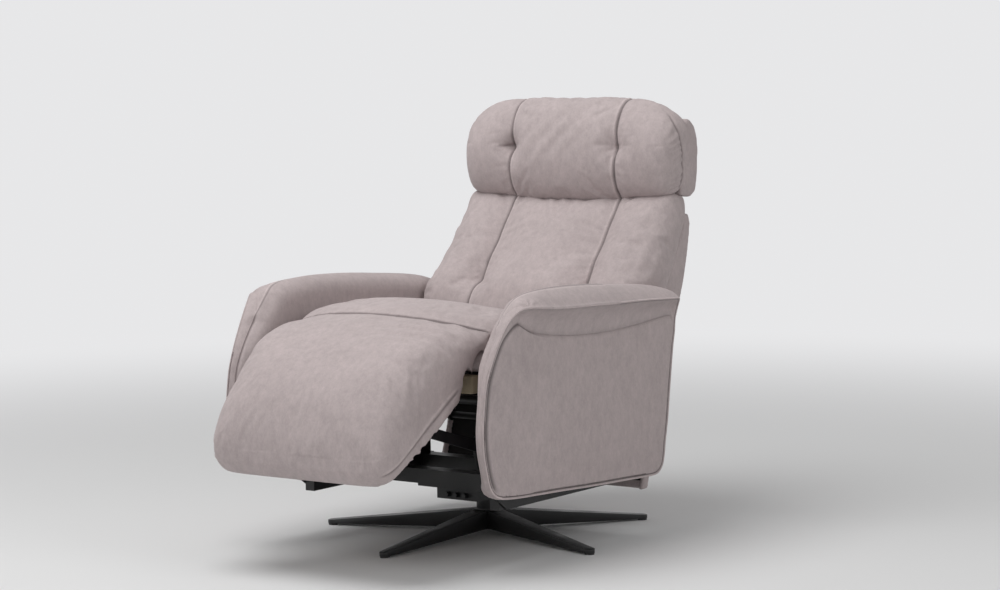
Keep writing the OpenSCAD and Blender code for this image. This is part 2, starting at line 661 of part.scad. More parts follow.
module back_shell() {
    outer = placed(shell_shares, shell_place, shell_size);
    inner = [for (i = [len(outer) - 1:-1:0]) outer[i] - [shell_t, i == len(outer) - 1 ? shell_t : 0]];
    lip = placed(shell_side_shares, shell_place, shell_size);
    color("#b3a6a4") difference() {
        union() {
            side_slab(concat(outer, inner), -back_w, 2 * back_w);
            pair() side_slab(concat(outer, lip), back_w - shell_t, shell_t);
            side_slab([outer[len(outer) - 1], lip[0], lip[0] - [0, shell_t],
                outer[len(outer) - 1] - [0, shell_t]], -back_w, 2 * back_w);
        }
        pair() {
            translate([head_plate_x - layer_gap, 0, back_tube_top[1] + cross_r + 2 * layer_gap])
                cube([steel_t + 2 * layer_gap, head_pivot[0] + tube, tube * 2]);
            translate([head_plate_x - layer_gap, 0, back_tube_top[1] - tube])
                cube([steel_t + 2 * layer_gap, back_tube_top[0] + cross_r + 3 * layer_gap, tube * 2]);
        }
    }
}

// Headrest
head_place = [312, 778];
head_pad_shares = [[0.12, 0], [0.03, 0.12], [0, 0.33], [0.03, 0.55], [0.12, 0.76], [0.26, 0.92], [0.46, 1],
    [0.6, 0.985], [0.68, 0.9], [0.662, 0.775], [0.647, 0.72], [0.597, 0.5], [0.537, 0.17], [0.51, 0.015],
    [0.4, -0.005]];
head_shell_shares = [[0.7, 0.78], [0.77, 0.78], [0.91, 0.7], [0.98, 0.58], [1, 0.45], [0.97, 0.16],
    [0.92, 0.01], [0.78, -0.05], [0.52, -0.02], [0.54, 0.17], [0.6, 0.5], [0.66, 0.74]];
module head_shell_solid(wall, trim) {
    side_slab(placed(head_shell_shares, head_place + [wall, wall],
        [head_depth - 2 * wall, head_h - 2 * wall]), -head_w + trim, 2 * (head_w - trim));
}
module headrest_shell() {
    color("#b3a6a4") difference() {
        head_shell_solid(0, head_wall);
        intersection() {
            head_shell_solid(head_wall, 2 * head_wall);
            translate([-head_w, head_bar[0] - head_bar_r - face_gap, 0])
                cube([2 * head_w, head_depth, head_place[1] + head_h * 0.72]);
        }
        pair() translate([head_plate_x + steel_t, head_pivot[0] - 1.5 * knuckle_r, head_pivot[1] - knuckle_r])
            cube([2 * steel_t, 3 * knuckle_r, tube + 4 * knuckle_r]);
    }
}
module headrest_hinge_plates() {
    color("#2a2a2c") pair() {
        difference() {
            side_shape(head_plate_x, steel_t) {
                bar(back_tube_top, head_pivot, knuckle_r * 0.8);
                translate(back_tube_top) circle(cross_r + 2 * layer_gap);
            }
            rod_x(back_tube_top, cross_r + run_clear, head_plate_x - cut, head_plate_x + tube);
        }
        rod_x(head_pivot, leg_lug_pin_r - run_clear / 2, head_plate_x, head_move_x + steel_t + layer_gap);
    }
}
head_move_x = head_plate_x + steel_t + layer_gap;
head_bar_rise = 138;
head_bar = [head_pivot[0], head_pivot[1] + head_bar_rise];
head_bar_r = 8.4;
module headrest_frame() {
    color("#1c1c1e") difference() {
        union() {
            pair() side_shape(head_move_x, steel_t) bar(head_pivot, head_bar, head_bar_r);
            rod_x(head_bar, head_bar_r, -head_w * 0.8, head_w * 0.8);
        }
        pair() rod_x(head_pivot, leg_lug_pin_r + run_clear, head_move_x - cut, head_move_x + tube);
    }
}
module headrest_pad() {
    color("#b3a6a4") pad(placed(head_pad_shares, head_place, [head_depth, head_h]), head_w);
}

star_base();
base_glides();
column();
column_bush();
thrust_washer();
hub_bolt();
swivel_spindle();
swivel_plate();
chassis_frame();
side_plate_left();
side_plate_right();
chassis_pins();
panel_spacers();
panel_bolts();
panel_feet();
control_box();
side_board_left();
side_board_right();
side_panel_left();
side_panel_right();
arm_pad_left();
arm_pad_right();
seat_frame();
seat_front_rail();
seat_springs();
seat_cushion();
legrest_brackets();
seat_pins();
torque_tube();
push_links();
leg_motor();
leg_motor_rod();
recline_motor();
recline_motor_rod();
recline_links();
legrest_frame();
legrest_board();
legrest_pad();
back_frame();
back_springs();
back_pad();
back_shell();
headrest_hinge_plates();
headrest_frame();
headrest_pad();
headrest_shell();
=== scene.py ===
import math

import bmesh
import bpy
import numpy as np
from mathutils import Matrix, Vector
from mathutils.bvhtree import BVHTree


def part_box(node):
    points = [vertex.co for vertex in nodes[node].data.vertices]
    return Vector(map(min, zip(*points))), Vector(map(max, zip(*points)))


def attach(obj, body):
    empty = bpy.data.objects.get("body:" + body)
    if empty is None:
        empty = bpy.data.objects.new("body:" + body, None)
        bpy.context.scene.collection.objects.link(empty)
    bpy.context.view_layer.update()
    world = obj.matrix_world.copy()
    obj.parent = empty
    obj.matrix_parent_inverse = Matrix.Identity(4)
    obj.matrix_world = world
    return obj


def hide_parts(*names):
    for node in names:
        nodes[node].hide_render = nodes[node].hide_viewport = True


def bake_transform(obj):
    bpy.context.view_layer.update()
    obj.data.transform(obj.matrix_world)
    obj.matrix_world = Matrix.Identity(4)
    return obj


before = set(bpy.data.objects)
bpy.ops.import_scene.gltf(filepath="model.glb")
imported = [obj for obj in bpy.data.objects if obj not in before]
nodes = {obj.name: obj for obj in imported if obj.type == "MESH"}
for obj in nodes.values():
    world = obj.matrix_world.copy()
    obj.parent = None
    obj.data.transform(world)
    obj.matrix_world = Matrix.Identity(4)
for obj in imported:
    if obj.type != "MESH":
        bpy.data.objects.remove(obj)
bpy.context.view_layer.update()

# Camera: in front of the chair and to its left, a little above the headrest, with a long lens.
# Its place and its angles in degrees are solved from the photograph's perspective.
camera_place = (3.7061, -5.0370, 1.1263)
camera_heading = 36
camera_dip = 5.222858
camera_lean = -0.893010
camera_data = bpy.data.cameras.new("camera")
camera = bpy.data.objects.new("camera", camera_data)
bpy.context.scene.collection.objects.link(camera)
bpy.context.scene.camera = camera
camera_data.sensor_width = 36
camera_data.lens = 97.2
camera_data.clip_end = 100
camera_turn = Matrix.Rotation(math.radians(camera_heading), 4, "Z")
camera_tilt = Matrix.Rotation(math.radians(90 - camera_dip), 4, "X")
camera_roll = Matrix.Rotation(math.radians(camera_lean), 4, "Z")
camera.matrix_world = Matrix.Translation(camera_place) @ camera_turn @ camera_tilt @ camera_roll

# Studio: a pale floor that fades into a pale world, one wide lamp overhead, and two soft lamps, in
# front and at the side. None of it belongs to the chair.
bpy.context.scene.view_settings.view_transform = "Standard"
pale = (0.80, 0.80, 0.81, 1)


def new_material(name):
    material = bpy.data.materials.new(name)
    material.use_nodes = True
    material.node_tree.nodes.clear()
    return material, material.node_tree.nodes, material.node_tree.links


def combined(tree, a, b, kind="MULTIPLY"):
    """The product of two values, or what another kind of Math node makes of them."""
    node = tree.nodes.new("ShaderNodeMath")
    node.operation = kind
    tree.links.new(a, node.inputs[0])
    tree.links.new(b, node.inputs[1])
    return node.outputs[0]


floor_paint, floor_nodes, floor_links = new_material("studio_floor")
floor_shader = floor_nodes.new("ShaderNodeBsdfPrincipled")
floor_shader.inputs["Base Color"].default_value = (0.72, 0.72, 0.72, 1)
floor_shader.inputs["Roughness"].default_value = 0.9
floor_far = floor_nodes.new("ShaderNodeEmission")
floor_far.inputs["Color"].default_value = pale
floor_place = floor_nodes.new("ShaderNodeTexCoord")
floor_reach = floor_nodes.new("ShaderNodeVectorMath")
floor_reach.operation = "LENGTH"
floor_links.new(floor_place.outputs["Object"], floor_reach.inputs[0])
floor_fade = floor_nodes.new("ShaderNodeMapRange")
floor_fade.interpolation_type = "SMOOTHSTEP"
floor_fade.inputs["From Min"].default_value = 0.9
floor_fade.inputs["From Max"].default_value = 4.5
floor_links.new(floor_reach.outputs["Value"], floor_fade.inputs["Value"])
floor_rays = floor_nodes.new("ShaderNodeLightPath").outputs
floor_tree = floor_paint.node_tree
floor_seen = combined(
    floor_tree, floor_rays["Is Camera Ray"], floor_rays["Is Glossy Ray"], "MAXIMUM"
)
floor_share = combined(floor_tree, floor_fade.outputs[0], floor_seen)
floor_mix = floor_nodes.new("ShaderNodeMixShader")
floor_links.new(floor_share, floor_mix.inputs[0])
floor_links.new(floor_shader.outputs[0], floor_mix.inputs[1])
floor_links.new(floor_far.outputs[0], floor_mix.inputs[2])
floor_output = floor_nodes.new("ShaderNodeOutputMaterial")
floor_links.new(floor_mix.outputs[0], floor_output.inputs[0])
bpy.ops.mesh.primitive_plane_add(size=60)
floor = bpy.context.object
floor.name = "studio_floor"
floor.data.materials.append(floor_paint)

world = bpy.data.worlds.new("studio")
bpy.context.scene.world = world
world.use_nodes = True
world_nodes, world_links = world.node_tree.nodes, world.node_tree.links
world_nodes.clear()
ambient = world_nodes.new("ShaderNodeBackground")
ambient.inputs["Color"].default_value = (1, 1, 1, 1)
ambient.inputs["Strength"].default_value = 0.36
backdrop = world_nodes.new("ShaderNodeBackground")
backdrop.inputs["Color"].default_value = pale
backdrop.inputs["Strength"].default_value = 1
rays = world_nodes.new("ShaderNodeLightPath").outputs
seen = combined(world.node_tree, rays["Is Camera Ray"], rays["Is Glossy Ray"], "MAXIMUM")
seen_through = combined(world.node_tree, seen, rays["Is Transmission Ray"], "MAXIMUM")
world_mix = world_nodes.new("ShaderNodeMixShader")
world_output = world_nodes.new("ShaderNodeOutputWorld")
world_links.new(seen_through, world_mix.inputs[0])
world_links.new(ambient.outputs[0], world_mix.inputs[1])
world_links.new(backdrop.outputs[0], world_mix.inputs[2])
world_links.new(world_mix.outputs[0], world_output.inputs[0])


def lamp(name, place, aim, size, watts):
    """A round soft lamp at a place, turned to what it aims at."""
    data = bpy.data.lights.new(name, "AREA")
    data.shape = "DISK"
    data.size = size
    data.energy = watts
    light = bpy.data.objects.new(name, data)
    bpy.context.scene.collection.objects.link(light)
    light.location = place
    light.rotation_euler = (Vector(aim) - Vector(place)).to_track_quat("-Z", "Y").to_euler()


lamp("lamp_over", (-0.6, -1.0, 3.4), (0, -0.1, 0.5), 2.4, 66)
lamp("lamp_front", (-1.6, -3.6, 1.9), (0, 0, 0.5), 2.0, 26)
lamp("lamp_side", (3.6, -0.6, 2.2), (0.2, 0, 0.4), 2.0, 27)


# Star base: five tapered arms welded to a hub and a column tube, steel with a fine satin
# black powder coat. The arms' edges are rolled over by the coat.
def node_group(name, inputs, outputs):
    """An empty shader group; inputs are (name, kind, value) and outputs are (name, kind)."""
    group = bpy.data.node_groups.new(name, "ShaderNodeTree")
    for label, kind, value in inputs:
        socket = group.interface.new_socket(name=label, in_out="INPUT", socket_type=kind)
        socket.default_value = value
    for label, kind in outputs:
        group.interface.new_socket(name=label, in_out="OUTPUT", socket_type=kind)
    start = group.nodes.new("NodeGroupInput")
    end = group.nodes.new("NodeGroupOutput")
    return group, start, end


def noise(tree, scale, detail, vector, roughness=0.5):
    """The value of a noise texture read at the vector."""
    texture = tree.nodes.new("ShaderNodeTexNoise")
    texture.inputs["Scale"].default_value = scale
    texture.inputs["Detail"].default_value = detail
    texture.inputs["Roughness"].default_value = roughness
    tree.links.new(vector, texture.inputs["Vector"])
    return texture.outputs["Fac"]


def spread(tree, value, low, high):
    """A noise value, which lies mostly between 0.3 and 0.7, spread from low to high instead."""
    node = tree.nodes.new("ShaderNodeMapRange")
    for label, number in (("From Min", 0.3), ("From Max", 0.7), ("To Min", low), ("To Max", high)):
        node.inputs[label].default_value = number
    tree.links.new(value, node.inputs["Value"])
    return node.outputs[0]


def tinted(tree, colour, amount):
    """The colour made lighter or darker by a value that is 1 where nothing changes."""
    node = tree.nodes.new("ShaderNodeVectorMath")
    node.operation = "SCALE"
    tree.links.new(colour, node.inputs[0])
    tree.links.new(amount, node.inputs["Scale"])
    return node.outputs[0]


coating, coating_in, coating_out = node_group(
    "sprayed_coat",
    [("Colour", "NodeSocketColor", (0.02, 0.02, 0.02, 1)), ("Grain", "NodeSocketFloat", 1400.0)],
    [("Colour", "NodeSocketColor"), ("Roughness", "NodeSocketFloat"), ("Height", "NodeSocketFloat")],
)
coat_place = coating.nodes.new("ShaderNodeTexCoord")
coat_grain = coating.nodes.new("ShaderNodeTexNoise")
coat_grain.inputs["Detail"].default_value = 2
coating.links.new(coat_place.outputs["Object"], coat_grain.inputs["Vector"])
coating.links.new(coating_in.outputs["Grain"], coat_grain.inputs["Scale"])
coat_cloud = noise(coating, 14, 3, coat_place.outputs["Object"])
coat_dust = spread(coating, coat_cloud, 0.85, 1.25)
coating.links.new(tinted(coating, coating_in.outputs["Colour"], coat_dust), coating_out.inputs["Colour"])
coating.links.new(spread(coating, coat_cloud, 0.38, 0.52), coating_out.inputs["Roughness"])
coating.links.new(coat_grain.outputs["Fac"], coating_out.inputs["Height"])


def surfaced(name, effect, effect_values, bump, bump_depth, shader_values):
    """A material whose colour, gloss and texture come from a shader group, and the group's node."""
    material, tree_nodes, links = new_material(name)
    group = tree_nodes.new("ShaderNodeGroup")
    group.node_tree = effect
    for label, value in effect_values.items():
        group.inputs[label].default_value = value
    height = tree_nodes.new("ShaderNodeBump")
    height.inputs["Strength"].default_value = bump
    height.inputs["Distance"].default_value = bump_depth
    shader = tree_nodes.new("ShaderNodeBsdfPrincipled")
    for label, value in shader_values.items():
        shader.inputs[label].default_value = value
    output = tree_nodes.new("ShaderNodeOutputMaterial")
    links.new(group.outputs["Colour"], shader.inputs["Base Color"])
    links.new(group.outputs["Roughness"], shader.inputs["Roughness"])
    links.new(group.outputs["Height"], height.inputs["Height"])
    links.new(height.outputs[0], shader.inputs["Normal"])
    links.new(shader.outputs[0], output.inputs[0])
    return material, group


def coated(name, colour, grain, bump, metallic=0.0):
    """A material with the sprayed coat in one colour."""
    values = {"Colour": (*colour, 1), "Grain": grain}
    return surfaced(name, coating, values, bump, 0.0004, {"Metallic": metallic})[0]


def finish(piece, *materials):
    """Gives a piece its materials, the first of them on every face."""
    piece.data.materials.clear()
    for material in materials:
        piece.data.materials.append(material)


def only(piece):
    """Leaves this piece selected and active, and nothing else."""
    bpy.ops.object.select_all(action="DESELECT")
    piece.select_set(True)
    bpy.context.view_layer.objects.active = piece


def new_piece(name, build):
    """A new piece with the built mesh."""
    mesh = bpy.data.meshes.new(name)
    build.to_mesh(mesh)
    build.free()
    piece = bpy.data.objects.new(name, mesh)
    bpy.context.scene.collection.objects.link(piece)
    only(piece)
    return piece


def copy_of(name, node):
    """A new piece with a node's mesh, merged."""
    build = bmesh.new()
    build.from_mesh(nodes[node].data)
    bmesh.ops.remove_doubles(build, verts=build.verts, dist=0.00002)
    return new_piece(name, build)


def applied(piece, kind, **settings):
    """Adds a modifier with these settings and applies it."""
    modifier = piece.modifiers.new(kind.lower(), kind)
    for key, value in settings.items():
        setattr(modifier, key, value)
    only(piece)
    bpy.ops.object.modifier_apply(modifier=modifier.name)


def bevelled(piece, width):
    """Edges rolled over by a bevel, with smooth shading between them."""
    edge_angle = math.radians(30)
    applied(piece, "BEVEL", width=width, segments=3, limit_method="ANGLE", angle_limit=edge_angle)
    bpy.ops.object.shade_smooth_by_angle(angle=math.radians(40))


base_black = coated("satin_black_coat", (0.006, 0.006, 0.0065), 1500, 0.25)
for name, node, rolled_edge in (("star_arms", "star_base", 0.0022), ("column_tube", "column", 0.0012)):
    piece = copy_of(name, node)
    bevelled(piece, rolled_edge)
    finish(piece, base_black)
    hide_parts(node)
    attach(piece, "base")

# Frames and plates of the mechanism: pressed plate and bent tube, welded, and dipped in black
# paint. The chassis turns on the column, and it carries the seat, the legrest and the back.
for name in (
    "swivel_plate", "chassis_frame", "side_plate_left", "side_plate_right", "seat_frame",
    "legrest_brackets", "torque_tube", "legrest_frame", "back_frame", "headrest_frame",
    "headrest_hinge_plates",
):
    finish(nodes[name], base_black)

# Pins, links, rods and springs: drawn steel. The pins and the motors' rods are left bright, and
# the links and springs have a thin dark finish.
brushed = coated("drawn_steel", (0.42, 0.42, 0.43), 700, 0.35, metallic=1.0)
dark_links = coated("dark_links", (0.06, 0.06, 0.065), 900, 0.3, metallic=0.9)
for name in ("hub_bolt", "swivel_spindle", "chassis_pins", "panel_bolts", "seat_pins", "leg_motor_rod",
             "recline_motor_rod"):
    finish(nodes[name], brushed)
for name in ("push_links", "recline_links", "seat_springs", "back_springs"):
    finish(nodes[name], dark_links)

# Glides, spacers, feet, motor housings and the control box: moulded in black plastic. The
# column's bush and thrust washer are natural nylon.
moulded = coated("moulded_black", (0.010, 0.010, 0.011), 500, 0.5)
natural = coated("natural_nylon", (0.72, 0.69, 0.62), 300, 0.2)
for name in ("base_glides", "panel_spacers", "panel_feet", "control_box", "leg_motor", "recline_motor"):
    finish(nodes[name], moulded)
for name in ("column_bush", "thrust_washer"):
    finish(nodes[name], natural)

# Boards inside the side panels and behind the legrest pad: birch plywood, cut to shape and
# sanded, with the covers wrapped round them.
plywood, ply_nodes, ply_links = new_material("birch_plywood")
ply_place = ply_nodes.new("ShaderNodeTexCoord")
ply_stretch = ply_nodes.new("ShaderNodeMapping")
ply_stretch.inputs["Scale"].default_value = (60, 3, 24)
ply_links.new(ply_place.outputs["Object"], ply_stretch.inputs["Vector"])
ply_grain = ply_nodes.new("ShaderNodeTexNoise")
ply_grain.inputs["Scale"].default_value = 6
ply_grain.inputs["Detail"].default_value = 6
ply_links.new(ply_stretch.outputs[0], ply_grain.inputs["Vector"])
ply_ramp = ply_nodes.new("ShaderNodeValToRGB")
ply_ramp.color_ramp.elements[0].position = 0.35
ply_ramp.color_ramp.elements[0].color = (0.38, 0.24, 0.12, 1)
ply_ramp.color_ramp.elements[1].position = 0.68
ply_ramp.color_ramp.elements[1].color = (0.62, 0.45, 0.26, 1)
ply_links.new(ply_grain.outputs["Fac"], ply_ramp.inputs[0])
ply_bump = ply_nodes.new("ShaderNodeBump")
ply_bump.inputs["Strength"].default_value = 0.3
ply_bump.inputs["Distance"].default_value = 0.0005
ply_links.new(ply_grain.outputs["Fac"], ply_bump.inputs["Height"])
ply_shader = ply_nodes.new("ShaderNodeBsdfPrincipled")
ply_shader.inputs["Roughness"].default_value = 0.6
ply_links.new(ply_ramp.outputs[0], ply_shader.inputs["Base Color"])
ply_links.new(ply_bump.outputs[0], ply_shader.inputs["Normal"])
ply_output = ply_nodes.new("ShaderNodeOutputMaterial")
ply_links.new(ply_shader.outputs[0], ply_output.inputs[0])
for name in ("side_board_left", "side_board_right", "legrest_board"):
    finish(nodes[name], plywood)

# Seat cushion: foam on the springs, in a cover of brushed nubuck-look cloth. The top is one
# crowned panel, and a narrow front band ends in the seam that the legrest's cover hangs from.
nap, nap_in, nap_out = node_group(
    "brushed_nap",
    [("Colour", "NodeSocketColor", (0.5, 0.45, 0.44, 1)), ("Crease", "NodeSocketFloat", 0.0)],
    [("Colour", "NodeSocketColor"), ("Roughness", "NodeSocketFloat"), ("Height", "NodeSocketFloat")],
)
nap_place = nap.nodes.new("ShaderNodeTexCoord").outputs["Object"]
nap_drag = nap.nodes.new("ShaderNodeMapping")
nap_drag.inputs["Scale"].default_value = (1.0, 1.0, 0.62)
nap.links.new(nap_place, nap_drag.inputs["Vector"])
clouds = spread(nap, noise(nap, 8, 4, nap_place, 0.6), 0.96, 1.04)
patches = spread(nap, noise(nap, 62, 6, nap_drag.outputs[0], 0.74), 0.895, 1.105)
hairs = spread(nap, noise(nap, 300, 3, nap_drag.outputs[0], 0.6), 0.955, 1.045)
shade = combined(nap, combined(nap, clouds, patches), hairs)
# Painted shade and highlight: the Crease input darkens the colour down to 0.38 at 1, and lightens it
# below zero.
creased = nap.nodes.new("ShaderNodeMapRange")
creased.clamp = False
creased.inputs["To Min"].default_value = 1
creased.inputs["To Max"].default_value = 0.38
nap.links.new(nap_in.outputs["Crease"], creased.inputs["Value"])
shade = combined(nap, shade, creased.outputs[0])
nap.links.new(tinted(nap, nap_in.outputs["Colour"], shade), nap_out.inputs["Colour"])
nap.links.new(spread(nap, noise(nap, 60, 3, nap_place), 0.78, 0.95), nap_out.inputs["Roughness"])
fuzz = noise(nap, 1500, 3, nap_place, 0.7)
pebbles = noise(nap, 130, 4, nap_place, 0.6)
nap.links.new(combined(nap, fuzz, pebbles, "ADD"), nap_out.inputs["Height"])


def upholstery(name, colour):
    """The chair's cloth in one colour, with painted shade in a crease and a painted highlight on a
    folded edge, by the mesh's crease attribute."""
    soft = {"Sheen Weight": 0.12, "Sheen Roughness": 0.4, "Specular IOR Level": 0.2}
    material, group = surfaced(name, nap, {"Colour": (*colour, 1)}, 0.35, 0.0006, soft)
    crease = material.node_tree.nodes.new("ShaderNodeAttribute")
    crease.attribute_name = "crease"
    material.node_tree.links.new(crease.outputs["Fac"], group.inputs["Crease"])
    return material


cloth = upholstery("nubuck_cloth", (0.445, 0.381, 0.379))


def points_of(piece):
    """The piece's points and their outward normals."""
    count = len(piece.data.vertices)
    points, normals = np.empty(count * 3), np.empty(count * 3)
    piece.data.vertices.foreach_get("co", points)
    piece.data.vertices.foreach_get("normal", normals)
    return points.reshape(-1, 3), normals.reshape(-1, 3)


def move_points(piece, points):
    """Moves the piece's points to these places."""
    piece.data.vertices.foreach_set("co", np.ascontiguousarray(points, np.float32).ravel())
    piece.data.update()


def bump_at(distance, width):
    """1 on a line and falling smoothly to nothing over about twice the width."""
    return np.exp(-((distance / width) ** 2))


def pulled_in(distance, width):
    """1 on a line, with a sharp fold there, and nothing from the width outwards."""
    return np.clip(1 - np.abs(distance) / width, 0, 1) ** 2


def between(value, low, high):
    """0 below low, 1 above high, and smooth between them."""
    t = np.clip((value - low) / (high - low), 0, 1)
    return t * t * (3 - 2 * t)


def within(value, start, full, fading, end):
    """0 up to start, 1 from full to fading, 0 again from end on, and smooth in between."""
    return between(value, start, full) * (1 - between(value, fading, end))


def waves(place, length, phase=0.0):
    """Folds in a row, one to each length, between -1 and 1."""
    return np.sin(place * 2 * math.pi / length + phase)


def through(rows, count, closed=False):
    """A smooth curve through the rows, as this many rows spaced evenly along the row numbers."""
    rows = np.array(rows, float)
    last = len(rows) if closed else len(rows) - 1
    at = np.linspace(0, last, count, endpoint=not closed)
    first = np.minimum(at.astype(int), last - 1)
    t = (at - first)[:, None]

    def neighbour(shift):
        index = first + shift
        return rows[index % len(rows)] if closed else rows[np.clip(index, 0, len(rows) - 1)]

    a, b, c, d = neighbour(-1), neighbour(0), neighbour(1), neighbour(2)
    return b + 0.5 * t * (c - a + t * (2 * a - 5 * b + 4 * c - d + t * (3 * (b - c) + d - a)))


def softened(outline):
    """A closed side outline, y and z in millimetres, with its corners cut three times, in metres."""
    loop = np.array(outline, float) / 1000
    for _ in range(3):
        ahead = np.roll(loop, -1, 0)
        cuts = np.stack([loop * 0.75 + ahead * 0.25, loop * 0.25 + ahead * 0.75], 1)
        loop = cuts.reshape(-1, 2)
    return loop


def drawn_in(loop, depth):
    """The loop moved inwards by a depth."""
    ahead, behind = np.roll(loop, -1, 0), np.roll(loop, 1, 0)
    along = ahead - behind
    along /= np.linalg.norm(along, axis=1)[:, None]
    area = np.sum(loop[:, 0] * ahead[:, 1] - ahead[:, 0] * loop[:, 1])
    inwards = np.stack([-along[:, 1], along[:, 0]], 1) * np.sign(area)
    return loop + inwards * depth


def skinned(name, rings):
    """A closed skin over rings of points."""
    build = bmesh.new()
    grid = [[build.verts.new(point) for point in ring] for ring in rings]
    for low, high in zip(grid, grid[1:]):
        for i in range(len(low)):
            j = (i + 1) % len(low)
            build.faces.new((low[i], low[j], high[j], high[i]))
    build.faces.new(grid[0])
    build.faces.new(grid[-1])
    bmesh.ops.remove_doubles(build, verts=build.verts, dist=0.00001)
    bmesh.ops.recalc_face_normals(build, faces=build.faces)
    return new_piece(name, build)


def cushion_rings(loop, half, edge):
    """The rings of a cushion of this half width, its two ends rounded over by the edge."""
    turn = np.linspace(0, math.pi / 2, 7)
    end = half - edge + edge * np.sin(turn)
    flat = np.linspace(-half + edge, half - edge, 41)[1:-1]
    x = np.concatenate([-end[::-1], flat, end])
    over_edge = np.clip(np.abs(x) - half + edge, 0, edge) / edge
    depth = edge * (1 - np.sqrt(np.clip(1 - over_edge ** 2, 0, 1)))
    rings = []
    for place, inset in zip(x, depth):
        section = drawn_in(loop, inset)
        rings.append(np.column_stack([np.full(len(section), place), section]))
    return rings


def blown_up(piece, held, reach, spare):
    """Fills a cover with cloth pressure. held marks the points that the sewing holds, reach is how
    far any point may move, and spare is the share by which the cloth is cut too large."""
    steps = 20
    before, _ = points_of(piece)
    group = piece.vertex_groups.new(name="sewn")
    group.add([int(i) for i in np.nonzero(held)[0]], 1.0, "REPLACE")
    modifier = piece.modifiers.new("cloth", "CLOTH")
    cloth_settings = modifier.settings
    cloth_settings.quality = 5
    cloth_settings.mass = 0.3
    cloth_settings.tension_stiffness = 12
    cloth_settings.compression_stiffness = 12
    cloth_settings.shear_stiffness = 4
    cloth_settings.bending_stiffness = 0.4
    cloth_settings.use_pressure = True
    cloth_settings.uniform_pressure_force = 4
    cloth_settings.shrink_min = -spare
    cloth_settings.vertex_group_mass = group.name
    cloth_settings.effector_weights.gravity = 0
    modifier.collision_settings.use_collision = False
    modifier.point_cache.frame_start = 1
    modifier.point_cache.frame_end = steps
    only(piece)
    for step in range(1, steps + 1):
        bpy.context.scene.frame_set(step)
    bpy.ops.object.modifier_apply(modifier=modifier.name)
    piece.vertex_groups.clear()
    after, _ = points_of(piece)
    shift = after - before
    length = np.linalg.norm(shift, axis=1)
    limit = reach * np.tanh(length / reach)
    shift *= (limit / np.maximum(length, 1e-9))[:, None]
    move_points(piece, before + shift)
    bpy.context.scene.frame_set(1)


def stuffed(name, rings, voxel, rounding, shape, held, reach, spare):
    """A stuffed cover: a skin over the rings, remeshed evenly, shaped, sewn down where held
    says and blown up."""
    piece = skinned(name, rings)
    applied(piece, "REMESH", mode="VOXEL", voxel_size=voxel)
    applied(piece, "SMOOTH", factor=0.5, iterations=rounding)
    points, normals = points_of(piece)
    move_points(piece, shape(points, normals))
    blown_up(piece, held(*points_of(piece)), reach, spare)
    applied(piece, "SMOOTH", factor=0.5, iterations=2)
    applied(piece, "SUBSURF", levels=1, render_levels=1)
    piece.data.shade_smooth()
    return piece


def mark_creases(piece, amount):
    """Says at each point how much painted shade its crease gets, or below zero how much painted
    highlight.
    """
    layer = piece.data.attributes.new("crease", "FLOAT", "POINT")
    layer.data.foreach_set("value", amount.astype(np.float32))


seat_half = 0.292
seat_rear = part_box("seat_cushion")[1].y
front_bow = 0.068
seat_outline = [
    (-412, 430), (-420, 470), (-422, 520), (-416, 548), (-400, 562), (-375, 571), (-330, 571),
    (-250, 564), (-100, 537), (20, 514), (76, 503), (88, 485), (86, 445), (60, 424), (-60, 424),
    (-200, 426), (-370, 428),
]


def sideways(points):
    """0 in the seat's middle, rising steeply to 1 near its sides."""
    return (np.abs(points[:, 0]) / 0.27) ** 2.2


def band_seam(points):
    """The height of the front band's lower seam at each point's x, and the point's distance from it."""
    seam_y = -0.415 + front_bow * sideways(points)
    seam_z = 0.549 - 0.035 * sideways(points)
    return seam_z, np.hypot(points[:, 1] - seam_y, points[:, 2] - seam_z)


def seat_shape(points, normals):
    """Bows the front edge back towards its corners and lets the top fall off to the sides."""
    high = between(points[:, 2], 0.45, 0.55)
    front = between(-points[:, 1], 0.12, 0.40)
    upright = 0.45 + 0.55 * between(points[:, 2], 0.44, 0.52)
    moved = points.copy()
    moved[:, 1] += front_bow * sideways(points) * front * upright
    moved[:, 2] -= 0.034 * sideways(points) * high
    return moved


def seat_held(points, normals):
    return (normals[:, 2] < -0.6) | (points[:, 1] > seat_rear - 0.02) | (band_seam(points)[1] < 0.005)


seat = stuffed(
    "seat_cover", cushion_rings(softened(seat_outline), seat_half, edge=0.036), voxel=0.0055,
    rounding=5, shape=seat_shape, held=seat_held, reach=0.006, spare=0.01
)
points, normals = points_of(seat)
seam_z, off_seam = band_seam(points)
# The seam under the front band is pressed in and darkened with painted shade, and the fold just above it
# gets a painted highlight.
seam = bump_at(off_seam, 0.0035)
move_points(seat, points - normals * (0.004 * seam)[:, None])
painted_fold_highlight = bump_at(points[:, 2] - seam_z - 0.006, 0.003) * bump_at(off_seam, 0.009)
mark_creases(seat, seam - 0.3 * painted_fold_highlight)
finish(seat, cloth)
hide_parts("seat_cushion")
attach(seat, "seat")

# Lining of the seat's front rail: khaki drill, wrapped round the rail under the cushion and
# stapled to it.
lining = upholstery("khaki_drill", (0.36, 0.30, 0.21))
rail = copy_of("rail_cover", "seat_front_rail")
bevelled(rail, 0.004)
finish(rail, lining)
mark_creases(rail, np.zeros(len(rail.data.vertices)))
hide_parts("seat_front_rail")
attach(rail, "seat")

# Legrest pad: one long crowned cushion that curls round the toe end. Its cover is sewn to the
# seat's front band at the knee, piped along the board's edge, and stapled behind the board.
leg_pivot = np.array((-0.455, 0.420))
board_turn = math.radians(35.5)
leg_along = np.array((-math.cos(board_turn), -math.sin(board_turn)))
leg_down = np.array((math.sin(board_turn), -math.cos(board_turn)))


def leg_at(along, down):
    """The y and z of a place along the board from the knee and behind its pivot, in metres."""
    return tuple(leg_pivot + leg_along * along + leg_down * down)


